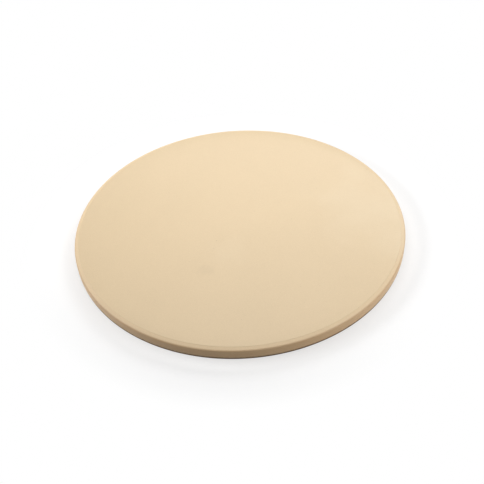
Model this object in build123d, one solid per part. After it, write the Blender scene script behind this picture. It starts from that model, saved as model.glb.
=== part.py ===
from build123d import *
import os

# A round pizza stone: one plate of cordierite, pressed in a die and fired, alike above and below.
# Millimetres, +Z up. The origin is the centre of the face that the plate rests on.

# Plate
plate_diameter = 330.0  # across the upright wall of the rim
plate_thickness = 12.0  # from the resting face to the baking face

# Rim, the same on both faces, so that either can be the baking face
bevel_width = 4.2  # how far the sloped band reaches in from the wall
bevel_height = 1.2  # how far the band falls from its face to the wall
wall_edge_radius = 1.8  # rounds the edge where the wall turns into a band
face_edge_radius = 6.0  # eases the shallow edge where a band turns into a face


def half_section():
    # Half of the plate cut through its axis: resting face, lower band, wall, upper band, baking face.
    wall_distance = plate_diameter / 2
    face_distance = wall_distance - bevel_width
    wall_top = plate_thickness - bevel_height
    edge_radii = (face_edge_radius, wall_edge_radius, wall_edge_radius, face_edge_radius)
    with BuildSketch(Plane.XZ) as section:
        with BuildLine():
            FilletPolyline(
                (0, 0),
                (face_distance, 0),
                (wall_distance, bevel_height),
                (wall_distance, wall_top),
                (face_distance, plate_thickness),
                (0, plate_thickness),
                radius=edge_radii,
            )
            Line((0, plate_thickness), (0, 0))
        make_face()
    return section.sketch


def stone_plate():
    # The whole plate is its half section turned once about the upright axis.
    return revolve(half_section(), axis=Axis.Z)


os.makedirs("parts", exist_ok=True)
export_step(stone_plate(), "parts/stone_plate.step")
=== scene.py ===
# A round pizza stone of bare cordierite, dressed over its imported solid. Metres, +Z up.
import math

import bmesh
import bpy
from mathutils import Matrix, Vector, noise


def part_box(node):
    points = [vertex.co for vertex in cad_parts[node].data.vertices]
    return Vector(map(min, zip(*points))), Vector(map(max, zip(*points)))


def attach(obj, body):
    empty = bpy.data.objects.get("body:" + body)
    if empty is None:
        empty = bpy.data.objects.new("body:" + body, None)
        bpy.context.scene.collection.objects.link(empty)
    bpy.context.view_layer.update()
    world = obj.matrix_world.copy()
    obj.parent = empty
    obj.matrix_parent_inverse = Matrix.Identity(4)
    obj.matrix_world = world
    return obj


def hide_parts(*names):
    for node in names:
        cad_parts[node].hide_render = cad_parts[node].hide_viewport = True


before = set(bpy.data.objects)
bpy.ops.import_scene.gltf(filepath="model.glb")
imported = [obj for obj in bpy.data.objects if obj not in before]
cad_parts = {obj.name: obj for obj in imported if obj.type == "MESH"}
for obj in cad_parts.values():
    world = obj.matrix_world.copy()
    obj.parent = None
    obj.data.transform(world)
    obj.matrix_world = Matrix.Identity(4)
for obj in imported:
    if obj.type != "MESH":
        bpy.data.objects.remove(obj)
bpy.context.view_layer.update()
plateLow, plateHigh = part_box("stone_plate")
plateRadius = (plateHigh.x - plateLow.x) / 2
plateThickness = plateHigh.z - plateLow.z
print("frame loaded")


# Camera, at the photograph's viewing angle
cameraSettings = {
    "distance": 0.7425,  # from the middle of the resting face
    "elevation": 41.65,  # degrees above the floor
    "turnRight": 0.14,  # degrees away from the middle of the resting face
    "tiltUp": -0.91,
    "roll": -3.83,
    "lens": 54.2,
    "sensorWidth": 36.0,
}


def makeCamera(settings):
    camera = bpy.data.objects.new("camera", bpy.data.cameras.new("camera"))
    bpy.context.scene.collection.objects.link(camera)
    camera.data.lens = settings["lens"]
    camera.data.sensor_width = settings["sensorWidth"]
    camera.data.clip_start = 0.01
    height = math.radians(settings["elevation"])
    place = Vector((0, -math.cos(height), math.sin(height))) * settings["distance"]
    aim = Matrix.Rotation(math.radians(90) - height, 4, "X")
    turn = Matrix.Rotation(math.radians(-settings["turnRight"]), 4, "Y")
    tilt = Matrix.Rotation(math.radians(settings["tiltUp"]), 4, "X")
    roll = Matrix.Rotation(math.radians(settings["roll"]), 4, "Z")
    camera.matrix_world = Matrix.Translation(place) @ aim @ turn @ tilt @ roll
    bpy.context.scene.camera = camera


makeCamera(cameraSettings)
print("camera placed")


# Stone slab: an upright wall, a sloped band round each face and the two faces
slabSettings = {
    "sides": 480,  # steps round the rim
    "bandWidth": 0.0042,
    "bandFall": 0.0012,
    "stepWidth": 0.00035,  # a low press line, where the die's ring met its plate
    "stepFall": 0.00022,
    "wallEdgeRadius": 0.0018,
    "stepEdgeRadius": 0.0004,
    "wallEdgeSteps": 6,
    "stepEdgeSteps": 2,
    "wallRows": 6,
    "faceRings": 14,
    "wallWaver": 0.00012,  # deepest hollow of the wall, which was wiped by hand before firing
    "wallWaverLength": 0.035,
    "bandWaver": 0.00016,
    "bandWaverLength": 0.022,
    "bandWaverPlace": (7, 3, 5),  # start of the band's noise, apart from the wall's
    "smallestEdge": 0.00035,  # the mesh is cut this fine round a chip
    "finerRounds": 8,  # at most
    "finerReach": 0.9,  # times the chip's width
    "chipInset": 0.25,  # times the edge radius, inwards from the wall
    "chipDrop": 0.3,  # times that inset, down from the edge
    "chipTilt": 0.9,  # up for each length outwards
    "chipRough": (0.16, 0.35),  # share of the scoop's radius, and size as a share of the chip's width
    "chipFine": (0.05, 0.10),
    "wallFade": (0.75, 0.15),  # times the edge radius, from the wall: the wall's darker tone, partly painted shade, begins and is whole
    "mergeReach": 1e-7,
}

# Chips: degrees round the rim from +X, top or foot edge, width along the rim, depth
chipPlaces = [
    (100.0, "top", 0.0034, 0.00055),
    (19.0, "top", 0.0016, 0.00030),
    (214.0, "top", 0.0013, 0.00024),
    (303.0, "foot", 0.0024, 0.00050),
    (148.0, "foot", 0.0019, 0.00036),
    (61.0, "foot", 0.0028, 0.00055),
]


def circleEdges(bm, radius, height, near=1e-5):
    # Edges that lie on one level ring round the axis.
    found = []
    for edge in bm.edges:
        ends = [vert.co for vert in edge.verts]
        onRing = all(abs(math.hypot(co.x, co.y) - radius) < near for co in ends)
        if onRing and all(abs(co.z - height) < near for co in ends):
            found.append(edge)
    return found


def roundRing(bm, radius, height, reach, steps):
    bmesh.ops.bevel(
        bm,
        geom=circleEdges(bm, radius, height),
        offset=reach,
        offset_type="OFFSET",
        affect="EDGES",
        segments=steps,
        profile=0.5,
        material=-1,
    )


def capFace(bm, direction, upright=0.999):
    # The widest face that looks up or down.
    level = [face for face in bm.faces if face.normal.z * direction > upright]
    return max(level, key=lambda face: face.calc_area())


def insetCap(bm, direction, width, fall):
    bmesh.ops.inset_region(
        bm,
        faces=[capFace(bm, direction)],
        thickness=width,
        depth=fall,
        use_even_offset=True,
    )


def buildBlank(bm, settings):
    wallHeight = plateThickness - 2 * settings["bandFall"]
    bmesh.ops.create_cone(
        bm,
        cap_ends=True,
        segments=settings["sides"],
        radius1=plateRadius,
        radius2=plateRadius,
        depth=wallHeight,
    )
    bmesh.ops.translate(bm, verts=bm.verts, vec=(0, 0, plateThickness / 2))
    uprights = []
    for edge in bm.edges:
        if abs(edge.verts[0].co.z - edge.verts[1].co.z) > wallHeight / 2:
            uprights.append(edge)
    slopeWidth = settings["bandWidth"] - settings["stepWidth"]
    slopeFall = settings["bandFall"] - settings["stepFall"]
    for direction in (1, -1):
        insetCap(bm, direction, slopeWidth, slopeFall)
        insetCap(bm, direction, settings["stepWidth"], settings["stepFall"])
    bmesh.ops.subdivide_edges(bm, edges=uprights, cuts=settings["wallRows"] - 1, use_grid_fill=True)


def roundEdges(bm, settings):
    slopeWidth = settings["bandWidth"] - settings["stepWidth"]
    slope = math.atan2(settings["bandFall"] - settings["stepFall"], slopeWidth)
    stepSlope = math.atan2(settings["stepFall"], settings["stepWidth"])
    wallReach = settings["wallEdgeRadius"] * math.tan((math.radians(90) - slope) / 2)
    stepReach = settings["stepEdgeRadius"] * math.tan(stepSlope / 2)
    faceRadius = plateRadius - settings["bandWidth"]
    for height in (settings["bandFall"], plateThickness - settings["bandFall"]):
        roundRing(bm, plateRadius, height, wallReach, settings["wallEdgeSteps"])
    for height in (0, plateThickness):
        roundRing(bm, faceRadius, height, stepReach, settings["stepEdgeSteps"])
    stepRadius = faceRadius + settings["stepWidth"]
    for height in (settings["stepFall"], plateThickness - settings["stepFall"]):
        roundRing(bm, stepRadius, height, stepReach, settings["stepEdgeSteps"])


def ringFaces(bm, settings):
    # Rings across both faces, closed by a fan at the middle.
    for direction in (1, -1):
        cap = capFace(bm, direction)
        reach = math.hypot(cap.verts[0].co.x, cap.verts[0].co.y)
        for ring in range(settings["faceRings"]):
            bmesh.ops.inset_region(
                bm,
                faces=[capFace(bm, direction)],
                thickness=reach / (settings["faceRings"] + 1),
                use_even_offset=True,
            )
        bmesh.ops.poke(bm, faces=[capFace(bm, direction)])


def softNoise(place):
    # Smooth noise between 0 and 1.
    return 0.5 + 0.5 * noise.noise(place)


def waverRim(bm, settings):
    # The rim is a little uneven, always inwards, so that the slab keeps its size.
    faceRadius = plateRadius - settings["bandWidth"]
    for vert in bm.verts:
        radius = math.hypot(vert.co.x, vert.co.y)
        if radius < faceRadius:
            continue
        outward = Vector((vert.co.x, vert.co.y, 0)) / radius
        wallShare = (radius - faceRadius) / settings["bandWidth"]
        hollow = softNoise(vert.co / settings["wallWaverLength"])
        vert.co -= outward * settings["wallWaver"] * hollow * wallShare
        dip = softNoise(vert.co / settings["bandWaverLength"] + Vector(settings["bandWaverPlace"]))
        fromMiddle = (vert.co.z - plateThickness / 2) / (plateThickness / 2)
        vert.co.z -= fromMiddle * settings["bandWaver"] * dip * wallShare


def longEdges(bm, spot, reach, smallest):
    found = []
    for edge in bm.edges:
        middle = (edge.verts[0].co + edge.verts[1].co) / 2
        if edge.calc_length() > smallest and (middle - spot).length < reach:
            found.append(edge)
    return found


def cutFiner(bm, spot, reach, smallest, rounds):
    # The faces near the spot become triangles and are halved until their sides are short.
    for finer in range(rounds):
        long = set(longEdges(bm, spot, reach, smallest))
        wide = [face for face in bm.faces if len(face.verts) > 3 and not long.isdisjoint(face.edges)]
        bmesh.ops.triangulate(bm, faces=wide)
        long = longEdges(bm, spot, reach, smallest)
        if not long:
            break
        bmesh.ops.subdivide_edges(bm, edges=long, cuts=1, use_grid_fill=True, use_single_edge=True)


def chipRim(bm, settings, broken, degrees, edgeName, width, depth):
    # A scoop out of the rounded edge of the wall.
    angle = math.radians(degrees)
    outward = Vector((math.cos(angle), math.sin(angle), 0))
    upward = Vector((0, 0, 1 if edgeName == "top" else -1))
    edgeHeight = plateThickness - settings["bandFall"] if edgeName == "top" else settings["bandFall"]
    inset = settings["wallEdgeRadius"] * settings["chipInset"]
    drop = upward * inset * settings["chipDrop"]
    spot = outward * (plateRadius - inset) + Vector((0, 0, edgeHeight)) - drop
    facing = (outward + upward * settings["chipTilt"]).normalized()
    scoopRadius = (width * width / 4 + depth * depth) / (2 * depth)
    middle = spot + facing * (scoopRadius - depth)
    cutFiner(bm, spot, width * settings["finerReach"], settings["smallestEdge"], settings["finerRounds"])
    roughShare, roughSize = settings["chipRough"]
    fineShare, fineSize = settings["chipFine"]
    for vert in bm.verts:
        away = vert.co - middle
        rough = 1 + roughShare * noise.noise(vert.co / (width * roughSize))
        rough += fineShare * noise.noise(vert.co / (width * fineSize))
        if (vert.co - spot).length < width and away.length < scoopRadius * rough:
            vert.co = middle + away.normalized() * scoopRadius * rough
            vert[broken] = 1.0


def markRim(bm, settings, band, wall):
    # Band: 1 from the press line outwards. Wall: 1 on the wall, falling to 0 across its rounded edges.
    faceRadius = plateRadius - settings["bandWidth"]
    edgeStart, edgeEnd = (plateRadius - settings["wallEdgeRadius"] * share for share in settings["wallFade"])
    for vert in bm.verts:
        radius = math.hypot(vert.co.x, vert.co.y)
        vert[band] = min(1.0, max(0.0, (radius - faceRadius) / settings["stepWidth"]))
        vert[wall] = min(1.0, max(0.0, (radius - edgeStart) / (edgeEnd - edgeStart)))


def makeSlab(settings):
    bm = bmesh.new()
    buildBlank(bm, settings)
    roundEdges(bm, settings)
    ringFaces(bm, settings)
    waverRim(bm, settings)
    broken = bm.verts.layers.float.new("broken")
    band = bm.verts.layers.float.new("bandShare")
    wall = bm.verts.layers.float.new("wallShare")
    for degrees, edgeName, width, depth in chipPlaces:
        chipRim(bm, settings, broken, degrees, edgeName, width, depth)
    markRim(bm, settings, band, wall)
    bmesh.ops.remove_doubles(bm, verts=bm.verts, dist=settings["mergeReach"])
    bmesh.ops.recalc_face_normals(bm, faces=bm.faces)
    for face in bm.faces:
        face.smooth = True
    mesh = bpy.data.meshes.new("stoneSlab")
    bm.to_mesh(mesh)
    bm.free()
    slab = bpy.data.objects.new("stoneSlab", mesh)
    bpy.context.scene.collection.objects.link(slab)
    return slab


slab = makeSlab(slabSettings)
print("slab built:", len(slab.data.polygons), "faces")


# Small helpers for node trees
def newNode(tree, kind, **settings):
    node = tree.nodes.new(kind)
    for name, value in settings.items():
        setattr(node, name, value)
    return node


def feed(tree, socket, value):
    # A socket takes either another socket or a plain value.
    if isinstance(value, bpy.types.NodeSocket):
        tree.links.new(value, socket)
    else:
        socket.default_value = value


def combine(tree, operation, first, second):
    node = newNode(tree, "ShaderNodeMath", operation=operation)
    feed(tree, node.inputs[0], first)
    feed(tree, node.inputs[1], second)
    return node.outputs[0]


def spread(tree, value, low, high, toLow=0.0, toHigh=1.0, smooth=False):
    node = newNode(tree, "ShaderNodeMapRange", interpolation_type="SMOOTHSTEP" if smooth else "LINEAR")
    numbers = {"Value": value, "From Min": low, "From Max": high, "To Min": toLow, "To Max": toHigh}
    for name, number in numbers.items():
        feed(tree, node.inputs[name], number)
    return node.outputs["Result"]


def blendColour(tree, share, first, second):
    node = newNode(tree, "ShaderNodeMix", data_type="RGBA")
    sockets = {socket.identifier: socket for socket in node.inputs}
    feed(tree, sockets["Factor_Float"], share)
    feed(tree, sockets["A_Color"], first)
    feed(tree, sockets["B_Color"], second)
    return next(socket for socket in node.outputs if socket.identifier == "Result_Color")


def newGroup(name, inputs, outputs):
    group = bpy.data.node_groups.new(name, "ShaderNodeTree")
    for label, kind, value in inputs:
        socket = group.interface.new_socket(name=label, in_out="INPUT", socket_type=kind)
        if value is not None:
            socket.default_value = value
    for label, kind in outputs:
        group.interface.new_socket(name=label, in_out="OUTPUT", socket_type=kind)
    return group, group.nodes.new("NodeGroupInput"), group.nodes.new("NodeGroupOutput")


def useGroup(tree, group, **values):
    node = newNode(tree, "ShaderNodeGroup", node_tree=group)
    for label, value in values.items():
        feed(tree, node.inputs[label], value)
    return node


# Pressed grain: sand-like grains, each with a tone of its own, in a finer ground mass
grainSettings = {
    "groundDetail": 3.0,
    "groundRoughness": 0.7,
    "groundRange": (0.25, 0.75),  # of the noise
    "grainTone": 0.6,  # shares of the tone
    "groundTone": 0.4,
    "domeReach": 0.8,  # of a grain's dome, in cells
    "domeHeight": 0.5,
    "groundHeight": 0.5,
}


def makeGrainGroup(settings):
    inputs = [
        ("Place", "NodeSocketVector", None),
        ("GrainSize", "NodeSocketFloat", 0.0004),
    ]
    outputs = [("Tone", "NodeSocketFloat"), ("Height", "NodeSocketFloat")]
    tree, given, result = newGroup("pressedGrain", inputs, outputs)
    scale = combine(tree, "DIVIDE", 1.0, given.outputs["GrainSize"])
    grains = newNode(tree, "ShaderNodeTexVoronoi", feature="F1")
    feed(tree, grains.inputs["Vector"], given.outputs["Place"])
    feed(tree, grains.inputs["Scale"], scale)
    lots = newNode(tree, "ShaderNodeSeparateColor")
    feed(tree, lots.inputs["Color"], grains.outputs["Color"])
    ground = newNode(tree, "ShaderNodeTexNoise")
    feed(tree, ground.inputs["Vector"], given.outputs["Place"])
    feed(tree, ground.inputs["Scale"], scale)
    ground.inputs["Detail"].default_value = settings["groundDetail"]
    ground.inputs["Roughness"].default_value = settings["groundRoughness"]
    groundShare = spread(tree, ground.outputs["Fac"], *settings["groundRange"])
    grainTone = combine(tree, "MULTIPLY", lots.outputs["Red"], settings["grainTone"])
    groundTone = combine(tree, "MULTIPLY", groundShare, settings["groundTone"])
    tone = combine(tree, "ADD", grainTone, groundTone)
    dome = spread(tree, grains.outputs["Distance"], 0.0, settings["domeReach"], settings["domeHeight"], 0.0)
    groundHeight = combine(tree, "MULTIPLY", groundShare, settings["groundHeight"])
    height = combine(tree, "ADD", dome, groundHeight)
    tree.links.new(tone, result.inputs["Tone"])
    tree.links.new(height, result.inputs["Height"])
    return tree


# Scattered spots: pinholes, iron flecks and pale grog grains
spotSettings = {
    "shift": 1.6,  # of the ragged outline, times the spot's radius
    "smallest": 0.35,  # times the largest radius
    "core": 0.55,  # share of the radius that is whole
}


def makeSpotGroup(settings):
    inputs = [
        ("Place", "NodeSocketVector", None),
        ("Spacing", "NodeSocketFloat", 0.004),
        ("Radius", "NodeSocketFloat", 0.0004),
        ("Share", "NodeSocketFloat", 0.5),
    ]
    tree, given, result = newGroup("scatteredSpots", inputs, [("Mask", "NodeSocketFloat")])
    ragged = newNode(tree, "ShaderNodeTexNoise")
    feed(tree, ragged.inputs["Vector"], given.outputs["Place"])
    feed(tree, ragged.inputs["Scale"], combine(tree, "DIVIDE", 1.0, given.outputs["Radius"]))
    shift = newNode(tree, "ShaderNodeVectorMath", operation="SCALE")
    feed(tree, shift.inputs[0], ragged.outputs["Color"])
    feed(tree, shift.inputs["Scale"], combine(tree, "MULTIPLY", given.outputs["Radius"], settings["shift"]))
    bent = newNode(tree, "ShaderNodeVectorMath", operation="ADD")
    feed(tree, bent.inputs[0], given.outputs["Place"])
    feed(tree, bent.inputs[1], shift.outputs[0])
    cells = newNode(tree, "ShaderNodeTexVoronoi", feature="F1")
    feed(tree, cells.inputs["Vector"], bent.outputs[0])
    feed(tree, cells.inputs["Scale"], combine(tree, "DIVIDE", 1.0, given.outputs["Spacing"]))
    distance = combine(tree, "MULTIPLY", cells.outputs["Distance"], given.outputs["Spacing"])
    lots = newNode(tree, "ShaderNodeSeparateColor")
    feed(tree, lots.inputs["Color"], cells.outputs["Color"])
    chosen = combine(tree, "LESS_THAN", lots.outputs["Red"], given.outputs["Share"])
    size = spread(tree, lots.outputs["Green"], 0.0, 1.0, settings["smallest"], 1.0)
    reach = combine(tree, "MULTIPLY", given.outputs["Radius"], size)
    inner = combine(tree, "MULTIPLY", reach, settings["core"])
    spot = spread(tree, distance, reach, inner, smooth=True)
    tree.links.new(combine(tree, "MULTIPLY", spot, chosen), result.inputs["Mask"])
    return tree


# Soft patches: broad, faint clouds of tone
patchRange = (0.3, 0.7)  # of the noise


def makePatchGroup():
    inputs = [
        ("Place", "NodeSocketVector", None),
        ("PatchSize", "NodeSocketFloat", 0.05),
        ("Detail", "NodeSocketFloat", 3.0),
    ]
    tree, given, result = newGroup("softPatches", inputs, [("Mask", "NodeSocketFloat")])
    clouds = newNode(tree, "ShaderNodeTexNoise")
    feed(tree, clouds.inputs["Vector"], given.outputs["Place"])
    feed(tree, clouds.inputs["Scale"], combine(tree, "DIVIDE", 1.0, given.outputs["PatchSize"]))
    feed(tree, clouds.inputs["Detail"], given.outputs["Detail"])
    tree.links.new(spread(tree, clouds.outputs["Fac"], *patchRange, smooth=True), result.inputs["Mask"])
    return tree


# Soft mark: one patch with a ragged edge, used for the handling marks and for a painted sheen
markSettings = {
    "noiseAcross": 2.2,  # noise lengths in the mark's reach
    "noiseDetail": 3.0,
    "noiseRange": (0.3, 0.7),
    "ragged": 0.35,  # of the edge, times the reach
    "core": 0.1,  # share of the reach that is whole
}


def makeMarkGroup(settings):
    inputs = [
        ("Place", "NodeSocketVector", None),
        ("Middle", "NodeSocketVector", (0.0, 0.0, 0.0)),
        ("Reach", "NodeSocketFloat", 0.01),
    ]
    tree, given, result = newGroup("softMark", inputs, [("Mask", "NodeSocketFloat")])
    between = newNode(tree, "ShaderNodeVectorMath", operation="DISTANCE")
    feed(tree, between.inputs[0], given.outputs["Place"])
    feed(tree, between.inputs[1], given.outputs["Middle"])
    ragged = newNode(tree, "ShaderNodeTexNoise")
    feed(tree, ragged.inputs["Vector"], given.outputs["Place"])
    raggedScale = combine(tree, "DIVIDE", settings["noiseAcross"], given.outputs["Reach"])
    feed(tree, ragged.inputs["Scale"], raggedScale)
    ragged.inputs["Detail"].default_value = settings["noiseDetail"]
    share = combine(tree, "DIVIDE", between.outputs["Value"], given.outputs["Reach"])
    uneven = settings["ragged"]
    shift = spread(tree, ragged.outputs["Fac"], *settings["noiseRange"], -uneven, uneven)
    bent = combine(tree, "ADD", share, shift)
    tree.links.new(spread(tree, bent, 1.0, settings["core"], smooth=True), result.inputs["Mask"])
    return tree


grainGroup = makeGrainGroup(grainSettings)
spotGroup = makeSpotGroup(spotSettings)
patchGroup = makePatchGroup()
markGroup = makeMarkGroup(markSettings)
print("shader groups made")


# Bare cordierite
stoneSettings = {
    "body": (0.830, 0.670, 0.444, 1.0),
    "bodyDeep": (0.781, 0.630, 0.417, 1.0),
    "grainDark": (0.60, 0.45, 0.27, 1.0),
    # The band's lighter colour is painted light on the sloped band
    "band": (0.874, 0.694, 0.460, 1.0),
    # The wall's darker, deeper colour is partly painted shade on the upright wall
    "wall": (0.73, 0.485, 0.262, 1.0),
    "ironFleck": (0.30, 0.17, 0.09, 1.0),
    "paleGrog": (0.82, 0.69, 0.48, 1.0),
    # Dark pinhole colour: painted shade in the pits
    "pinhole": (0.36, 0.25, 0.15, 1.0),
    "freshBreak": (0.80, 0.61, 0.38, 1.0),
    "breakShare": 0.4,
    "smudge": (0.60, 0.47, 0.31, 1.0),
    # Pale colour of a rubbed mark, also used for a broad painted sheen
    "paleRubAndSheen": (0.88, 0.76, 0.56, 1.0),
    "roughness": 0.45,
    "roughnessSpread": 0.12,
    "diffuseRoughness": 0.5,
    "specular": 0.36,
    "dullRoughness": 1.0,  # of the faces at a low angle, where the pores swallow the sheen
    "dullRange": (0.42, 0.62),  # turn away from the view over which that sets in
    "grainSize": 0.00032,
    "grainShare": 0.36,
    "grainHeight": 0.000045,
    "cloudSize": 0.07,
    "cloudShare": 0.25,
    "mottleSize": 0.012,
    "mottleShare": 0.12,
    "streakSize": 0.0011,  # height of the wipe marks round the wall
    "streakLength": 30.0,  # times their height
    "streakShare": 0.22,
    "pinholeDepth": 0.00016,
}

# Spots: spacing, largest radius, share of the cells that hold one, strength
spotPlaces = {
    "grog": (0.0016, 0.00042, 0.45, 0.45),
    "specks": (0.0028, 0.00020, 0.55, 0.45),
    "flecks": (0.0085, 0.00046, 0.35, 0.40),
    "pinholes": (0.0052, 0.00034, 0.45, 0.55),
}

# Handling marks and one broad painted sheen on the baking face: middle, reach, strength, colour
markPlaces = [
    ((-0.0340, -0.0660, 0.012), 0.0120, 0.16, "smudge"),
    ((-0.0080, -0.0420, 0.012), 0.0300, 0.08, "paleRubAndSheen"),
    # This broad pale patch on the right is a painted sheen, not a handling mark
    ((0.1560, -0.0050, 0.012), 0.1000, 0.25, "paleRubAndSheen"),
]


def spotMask(tree, place, name):
    spacing, radius, share, strength = spotPlaces[name]
    spots = useGroup(tree, spotGroup, Place=place, Spacing=spacing, Radius=radius, Share=share)
    return combine(tree, "MULTIPLY", spots.outputs["Mask"], strength)


def markMask(tree, place, middle, reach, strength):
    mark = useGroup(tree, markGroup, Place=place, Middle=middle, Reach=reach)
    return combine(tree, "MULTIPLY", mark.outputs["Mask"], strength)


def streakMask(tree, place, settings):
    # Faint level streaks, drawn out along the wall.
    drawn = newNode(tree, "ShaderNodeVectorMath", operation="MULTIPLY")
    feed(tree, drawn.inputs[0], place)
    drawn.inputs[1].default_value = (1 / settings["streakLength"], 1 / settings["streakLength"], 1.0)
    streaks = useGroup(tree, patchGroup, Place=drawn.outputs[0], PatchSize=settings["streakSize"], Detail=3.0)
    return combine(tree, "MULTIPLY", streaks.outputs["Mask"], settings["streakShare"])


def stoneColour(tree, place, band, wall, grainTone, settings):
    clouds = useGroup(tree, patchGroup, Place=place, PatchSize=settings["cloudSize"], Detail=2.0)
    mottle = useGroup(tree, patchGroup, Place=place, PatchSize=settings["mottleSize"], Detail=3.0)
    deep = combine(tree, "MULTIPLY", clouds.outputs["Mask"], settings["cloudShare"])
    mottled = combine(tree, "MULTIPLY", mottle.outputs["Mask"], settings["mottleShare"])
    deep = combine(tree, "ADD", deep, mottled)
    colour = blendColour(tree, deep, settings["body"], settings["bodyDeep"])
    # Lighter band: painted light
    colour = blendColour(tree, band, colour, settings["band"])
    # Darker wall: partly painted shade, with real wipe streaks
    wallColour = blendColour(tree, streakMask(tree, place, settings), settings["wall"], settings["bodyDeep"])
    colour = blendColour(tree, wall, colour, wallColour)
    grained = combine(tree, "MULTIPLY", grainTone, settings["grainShare"])
    colour = blendColour(tree, grained, colour, settings["grainDark"])
    # One of these marks is a broad painted sheen on the right of the baking face
    for middle, reach, strength, colourName in markPlaces:
        mark = markMask(tree, place, middle, reach, strength)
        colour = blendColour(tree, mark, colour, settings[colourName])
    colour = blendColour(tree, spotMask(tree, place, "grog"), colour, settings["paleGrog"])
    colour = blendColour(tree, spotMask(tree, place, "specks"), colour, settings["ironFleck"])
    return blendColour(tree, spotMask(tree, place, "flecks"), colour, settings["ironFleck"])


def stoneRoughness(tree, grainTone, wall, settings):
    finest = settings["roughness"] - settings["roughnessSpread"] / 2
    coarsest = settings["roughness"] + settings["roughnessSpread"] / 2
    roughness = spread(tree, grainTone, 0.0, 1.0, finest, coarsest)
    facing = newNode(tree, "ShaderNodeLayerWeight").outputs["Facing"]
    offWall = combine(tree, "SUBTRACT", 1.0, wall)
    dullShare = combine(tree, "MULTIPLY", spread(tree, facing, *settings["dullRange"]), offWall)
    return spread(tree, dullShare, 0.0, 1.0, roughness, settings["dullRoughness"])


def stoneBump(tree, grainHeights, pinholes, settings):
    grainHeight = combine(tree, "MULTIPLY", grainHeights, settings["grainHeight"])
    holeDepth = combine(tree, "MULTIPLY", pinholes, settings["pinholeDepth"] / spotPlaces["pinholes"][3])
    bump = newNode(tree, "ShaderNodeBump")
    bump.inputs["Strength"].default_value = 1.0
    bump.inputs["Distance"].default_value = 1.0
    feed(tree, bump.inputs["Height"], combine(tree, "SUBTRACT", grainHeight, holeDepth))
    return bump.outputs["Normal"]


def makeStone(settings):
    material = bpy.data.materials.new("bareCordierite")
    material.use_nodes = True
    tree = material.node_tree
    tree.nodes.clear()
    place = newNode(tree, "ShaderNodeTexCoord").outputs["Object"]
    band = newNode(tree, "ShaderNodeAttribute", attribute_name="bandShare").outputs["Fac"]
    wall = newNode(tree, "ShaderNodeAttribute", attribute_name="wallShare").outputs["Fac"]
    broken = newNode(tree, "ShaderNodeAttribute", attribute_name="broken").outputs["Fac"]
    grain = useGroup(tree, grainGroup, Place=place, GrainSize=settings["grainSize"])
    pinholes = spotMask(tree, place, "pinholes")
    colour = stoneColour(tree, place, band, wall, grain.outputs["Tone"], settings)
    # Dark pinholes: painted shade in the pits
    colour = blendColour(tree, pinholes, colour, settings["pinhole"])
    breakShare = combine(tree, "MULTIPLY", broken, settings["breakShare"])
    colour = blendColour(tree, breakShare, colour, settings["freshBreak"])
    roughness = stoneRoughness(tree, grain.outputs["Tone"], wall, settings)
    shader = newNode(tree, "ShaderNodeBsdfPrincipled")
    shader.inputs["Diffuse Roughness"].default_value = settings["diffuseRoughness"]
    shader.inputs["Specular IOR Level"].default_value = settings["specular"]
    feed(tree, shader.inputs["Base Color"], colour)
    feed(tree, shader.inputs["Roughness"], roughness)
    feed(tree, shader.inputs["Normal"], stoneBump(tree, grain.outputs["Height"], pinholes, settings))
    output = newNode(tree, "ShaderNodeOutputMaterial")
    feed(tree, output.inputs["Surface"], shader.outputs["BSDF"])
    return material


slab.data.materials.append(makeStone(stoneSettings))
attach(slab, "root")
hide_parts("stone_plate")
print("slab dressed")


# Studio: pale floor, surroundings that are white to the view, and soft lamps
studioSettings = {
    "floorSize": 6.0,
    "floorSeen": (1.0, 1.0, 1.0, 1.0),  # floor's tone to the view
    "floorGlow": 0.12,  # share of it that glows, as a lit white table does
    "paintedFootLight": 0.62,  # painted light: the share that glows just outside the stone's foot, which lifts the stone's shadow there
    "footReach": 0.018,  # how far that reaches out
    "glowStart": 0.0008,  # from here under the rim the glow sets in, and from glowFull it is whole
    "glowFull": 0.0003,
    "gapShade": (0.26, 0.17, 0.10, 1.0),  # painted shadow, further in, in the gap under the stone's lower band
    "floorGiven": 0.43,  # what the floor gives back to the stone
    "fadeStart": 0.012,  # from here beyond the stone's rim, the floor turns plain white to the view
    "fadeEnd": 0.055,
    "worldStrength": 0.0,  # light that the surroundings give to the stone
}

# Lamps round the stone: turn from straight behind it towards the right, height above the floor in degrees,
# distance, width, height and the share of a level white surface's light that each one gives
lampPlaces = {
    "overhead": (20, 80, 0.40, 0.30, 0.30, 0.382),
    "overheadLeft": (-60, 72, 0.48, 0.30, 0.30, 0.162),
    "back": (14, 33, 1.00, 1.00, 0.25, 0.147),
    "backRight": (35, 33, 1.00, 0.80, 0.25, 0.063),
    "left": (-90, 24, 1.00, 0.70, 0.27, 0.266),
    "right": (90, 50, 0.60, 0.50, 0.20, 0.154),
    "frontRight": (135, 20, 0.70, 0.40, 0.15, 0.055),
    "frontRightLow": (115, 10, 0.80, 0.50, 0.12, 0.042),
}


def sharedRays(tree):
    # 1 for rays that the view, a gloss or a glass sends out.
    rays = newNode(tree, "ShaderNodeLightPath")
    seen = combine(tree, "MAXIMUM", rays.outputs["Is Camera Ray"], rays.outputs["Is Glossy Ray"])
    return combine(tree, "MAXIMUM", seen, rays.outputs["Is Transmission Ray"])


def ringSpread(tree, distance, start, end, toLow=0.0, toHigh=1.0):
    # Change over a ring of the floor, by the distance from the stone's rim.
    return spread(tree, distance, plateRadius + start, plateRadius + end, toLow, toHigh, smooth=True)


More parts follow.
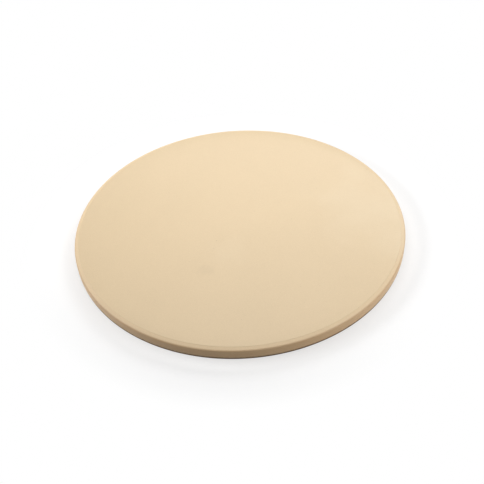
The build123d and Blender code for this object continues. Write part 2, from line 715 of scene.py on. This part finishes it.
def makeFloorMaterial(settings):
    material = bpy.data.materials.new("paleFloor")
    material.use_nodes = True
    tree = material.node_tree
    tree.nodes.clear()
    place = newNode(tree, "ShaderNodeTexCoord").outputs["Object"]
    length = newNode(tree, "ShaderNodeVectorMath", operation="LENGTH")
    feed(tree, length.inputs[0], place)
    distance = length.outputs["Value"]
    away = ringSpread(tree, distance, settings["fadeStart"], settings["fadeEnd"])
    # Painted light: extra glow on the floor just outside the stone's foot, lifting its shadow
    foot = ringSpread(tree, distance, 0, settings["footReach"], settings["paintedFootLight"], settings["floorGlow"])
    outside = ringSpread(tree, distance, -settings["glowStart"], -settings["glowFull"])
    glow = combine(tree, "MAXIMUM", away, combine(tree, "MULTIPLY", foot, outside))
    seen = newNode(tree, "ShaderNodeBsdfDiffuse")
    # Painted shadow: the floor under the rim takes the dark gap colour
    feed(tree, seen.inputs["Color"], blendColour(tree, outside, settings["gapShade"], settings["floorSeen"]))
    given = newNode(tree, "ShaderNodeBsdfDiffuse")
    given.inputs["Color"].default_value = (settings["floorGiven"],) * 3 + (1.0,)
    white = newNode(tree, "ShaderNodeEmission")
    white.inputs["Strength"].default_value = 1.0
    far = newNode(tree, "ShaderNodeMixShader")
    feed(tree, far.inputs[0], glow)
    feed(tree, far.inputs[1], seen.outputs[0])
    feed(tree, far.inputs[2], white.outputs[0])
    shown = newNode(tree, "ShaderNodeMixShader")
    feed(tree, shown.inputs[0], sharedRays(tree))
    feed(tree, shown.inputs[1], given.outputs[0])
    feed(tree, shown.inputs[2], far.outputs[0])
    output = newNode(tree, "ShaderNodeOutputMaterial")
    feed(tree, output.inputs["Surface"], shown.outputs[0])
    return material


def makeFloor(settings):
    bm = bmesh.new()
    bmesh.ops.create_grid(bm, x_segments=8, y_segments=8, size=settings["floorSize"] / 2)
    mesh = bpy.data.meshes.new("floor")
    bm.to_mesh(mesh)
    bm.free()
    mesh.materials.append(makeFloorMaterial(settings))
    floor = bpy.data.objects.new("floor", mesh)
    bpy.context.scene.collection.objects.link(floor)


def makeWorld(settings):
    world = bpy.data.worlds.new("studio")
    bpy.context.scene.world = world
    world.use_nodes = True
    tree = world.node_tree
    tree.nodes.clear()
    soft = newNode(tree, "ShaderNodeBackground")
    soft.inputs["Strength"].default_value = settings["worldStrength"]
    white = newNode(tree, "ShaderNodeBackground")
    white.inputs["Strength"].default_value = 1.0
    shown = newNode(tree, "ShaderNodeMixShader")
    feed(tree, shown.inputs[0], sharedRays(tree))
    feed(tree, shown.inputs[1], soft.outputs[0])
    feed(tree, shown.inputs[2], white.outputs[0])
    output = newNode(tree, "ShaderNodeOutputWorld")
    feed(tree, output.inputs["Surface"], shown.outputs[0])
    for node in (soft, white):
        node.inputs["Color"].default_value = (1.0, 1.0, 1.0, 1.0)


def makeLamp(name, turn, rise, distance, width, height, share):
    light = bpy.data.lights.new(name, "AREA")
    light.shape = "RECTANGLE"
    light.size = width
    light.size_y = height
    light.energy = share * (math.pi * distance) ** 2 / math.sin(math.radians(rise))
    lamp = bpy.data.objects.new(name, light)
    bpy.context.scene.collection.objects.link(lamp)
    level = math.cos(math.radians(rise))
    across = level * math.sin(math.radians(turn))
    behind = level * math.cos(math.radians(turn))
    toLamp = Vector((across, behind, math.sin(math.radians(rise))))
    lamp.location = toLamp * distance
    lamp.rotation_euler = (-toLamp).to_track_quat("-Z", "Y").to_euler()


makeFloor(studioSettings)
makeWorld(studioSettings)
for name, numbers in lampPlaces.items():
    makeLamp(name, *numbers)
bpy.context.scene.view_settings.view_transform = "Standard"
print("studio lit")
